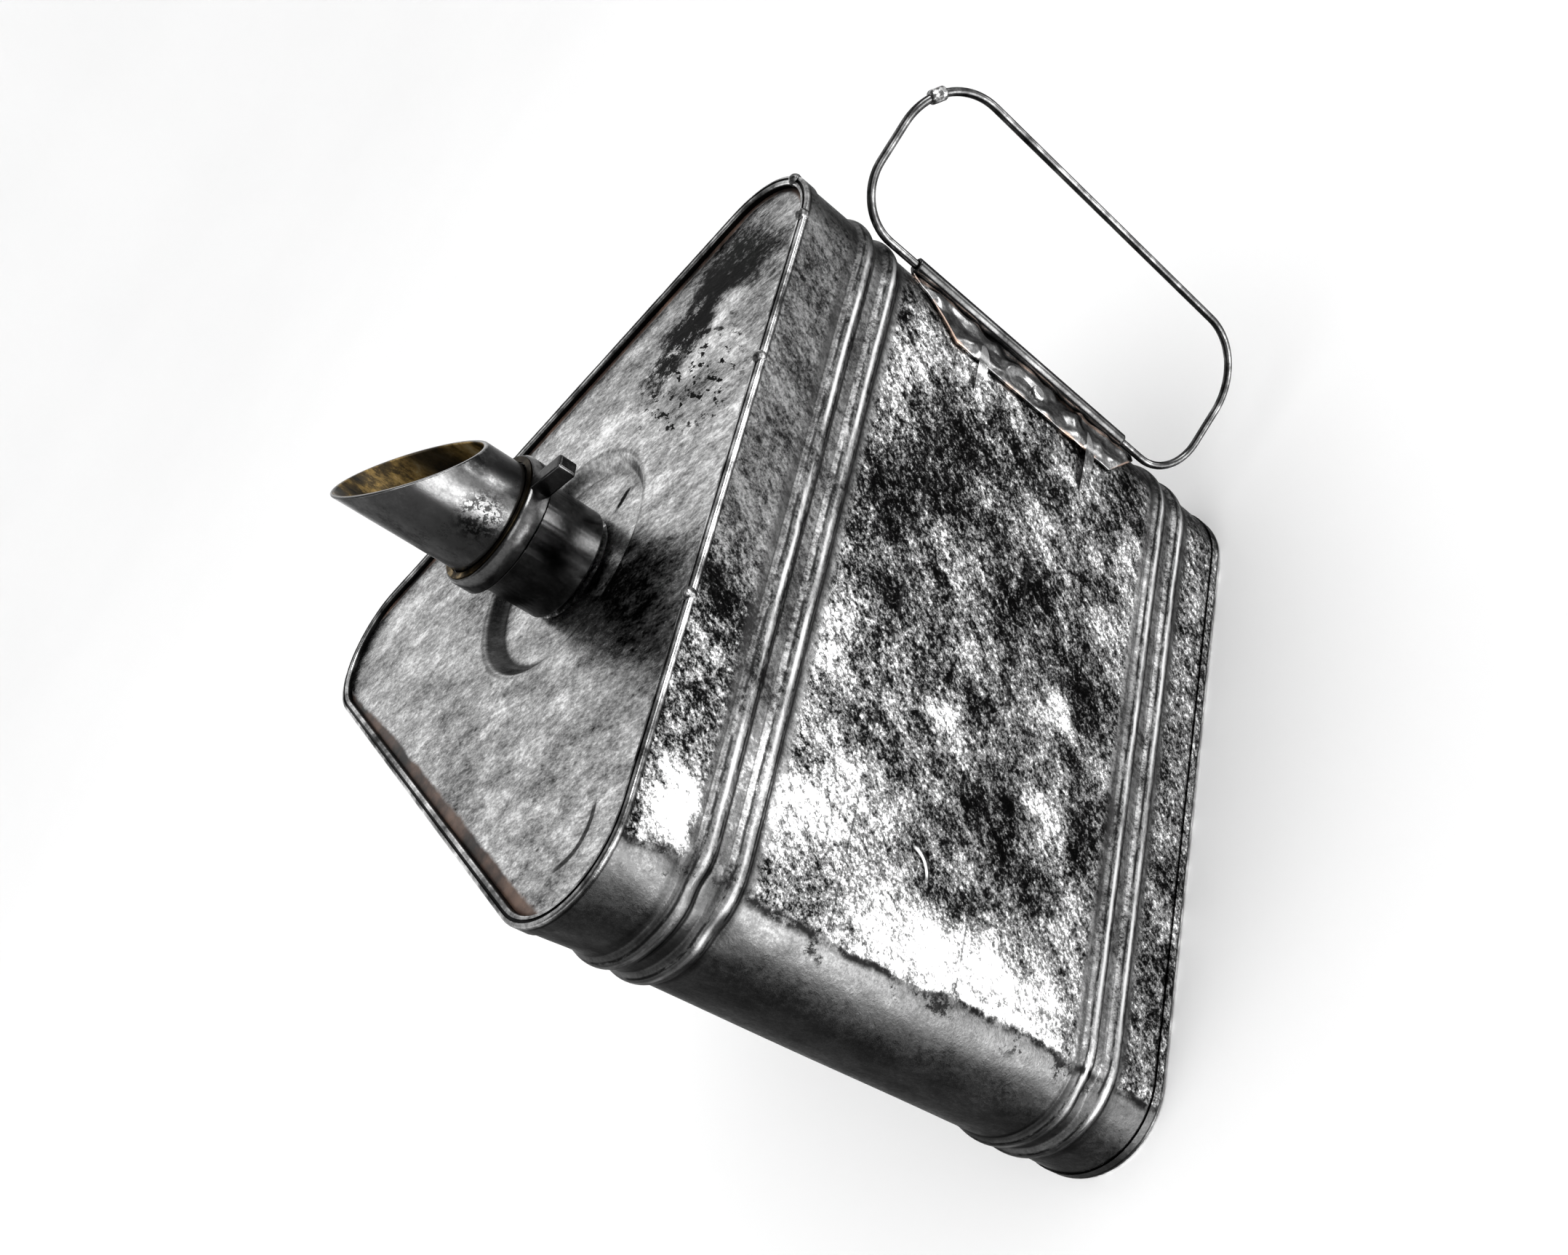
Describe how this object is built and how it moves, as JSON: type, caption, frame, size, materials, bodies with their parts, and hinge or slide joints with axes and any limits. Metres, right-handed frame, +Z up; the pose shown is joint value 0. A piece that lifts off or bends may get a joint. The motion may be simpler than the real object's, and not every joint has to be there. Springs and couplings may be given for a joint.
{
  "type": "gas can",
  "caption": "Triangular galvanised petrol can with beaded walls, rolled end seams, a slant-cut screw-on swivel spout and a swinging wire carrying handle on a curled hinge plate.",
  "frame": {"origin": "middle of the whole part's bounding box in X and Y, on the plane the bottom chime stands on", "axes": "+Z up along the spout axis, from the foot to the spout; +Y towards the long corner that carries the handle; X across the flat side opposite the handle"},
  "size_m": [0.2082, 0.2331, 0.2303],
  "materials": {
    "galvanised": "worn, mottled",
    "end_sheet": "matte, streaked",
    "seam_steel": "worn bright edges",
    "solder": "dull",
    "dark_steel": "gloss",
    "spout_steel": "polished, speckled",
    "brass": "dull",
    "rubber": "matte",
    "bright_plate": "dented, shiny",
    "wire_steel": "dark, worn"
  },
  "bodies": {
    "can": {"body_shell": "galvanised", "side_seam": "galvanised", "top_panel": "end_sheet", "bottom_panel": "end_sheet", "top_chime": "seam_steel", "bottom_chime": "seam_steel", "rim_solder_beads": "solder", "neck": "dark_steel", "neck_solder": "solder", "handle_bracket": "bright_plate", "bracket_rivet": "bright_plate", "bracket_darts": "bright_plate"},
    "gasket_carrier": {"collar_gasket": "rubber"},
    "screw_collar": {"collar": "dark_steel"},
    "ring": {"lock_ring": "dark_steel", "thumb_lug": "dark_steel", "spout_washer": "brass"},
    "spout_body": {"spout_tube": "spout_steel", "spout_seal": "rubber"},
    "handle": {"handle_wire": "wire_steel", "handle_weld": "solder"}
  },
  "joints": [
    {"name": "handle_swing", "type": "hinge", "parent": "can", "child": "handle", "pos_m": [0.01162, 0.06967, 0.093], "axis": [0, 0, 1], "range_deg": [-116, 68]},
    {"name": "collar_rise", "type": "slide", "parent": "can", "child": "gasket_carrier", "axis": [0, 0, 1], "range_m": [0, 0.0061]},
    {"name": "collar_turn", "type": "hinge", "parent": "gasket_carrier", "child": "screw_collar", "pos_m": [0, -0.04551, 0.18], "axis": [0, 0, 1], "range_deg": [0, 720]},
    {"name": "ring_turn", "type": "hinge", "parent": "screw_collar", "child": "ring", "pos_m": [0, -0.04551, 0.192], "axis": [0, 0, 1], "range_deg": [0, 90]},
    {"name": "spout_swivel", "type": "hinge", "parent": "screw_collar", "child": "spout_body", "pos_m": [0, -0.04551, 0.2], "axis": [0, 0, 1], "continuous": true}
  ],
  "couplings": [
    {"joint": "collar_rise", "follows": "collar_turn", "m_per_rad": 0.00047746}
  ]
}
